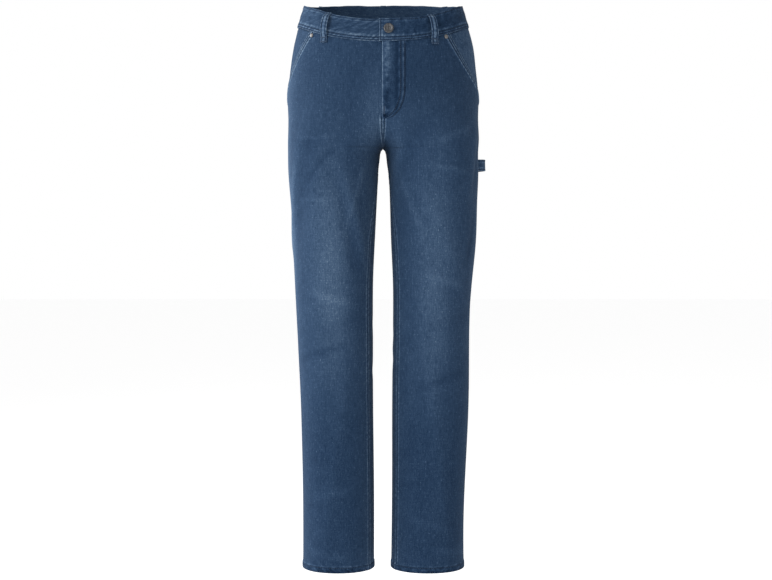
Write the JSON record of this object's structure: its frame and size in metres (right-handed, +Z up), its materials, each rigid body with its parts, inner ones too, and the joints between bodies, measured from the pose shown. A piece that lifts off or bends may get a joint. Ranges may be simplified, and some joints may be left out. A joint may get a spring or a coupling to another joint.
{
  "type": "jeans",
  "caption": "Straight carpenter jeans in faded blue denim, filled out and hollow as if worn, with slant pockets, a buttoned fly, belt loops and a hammer loop.",
  "frame": {"origin": "centre of the waistband ring, at half its height at the sides, where the wearer's waist holds it", "axes": "+Z up, the front faces -Y, +X is the wearer's left"},
  "size_m": [0.3773, 0.2679, 1.0782],
  "materials": {
    "denim": "faded blue twill, matt, with worn pale seams",
    "antique_metal": "antique grey metal, satin",
    "rivet_metal": "pale worn metal, satin"
  },
  "bodies": {
    "root": {"front_right": "denim", "front_left": "denim", "back_right": "denim", "back_left": "denim", "yoke_right": "denim", "yoke_left": "denim", "waistband": "denim", "pocket_facing_right": "denim", "pocket_facing_left": "denim", "fly": "denim", "back_pocket_right": "denim", "back_pocket_left": "denim", "loop_front_right": "denim", "loop_front_left": "denim", "loop_back_right": "denim", "loop_back_left": "denim", "loop_centre": "denim", "hammer_loop": "denim", "button": "antique_metal", "rivet_right": "rivet_metal", "rivet_left": "rivet_metal"}
  },
  "joints": []
}
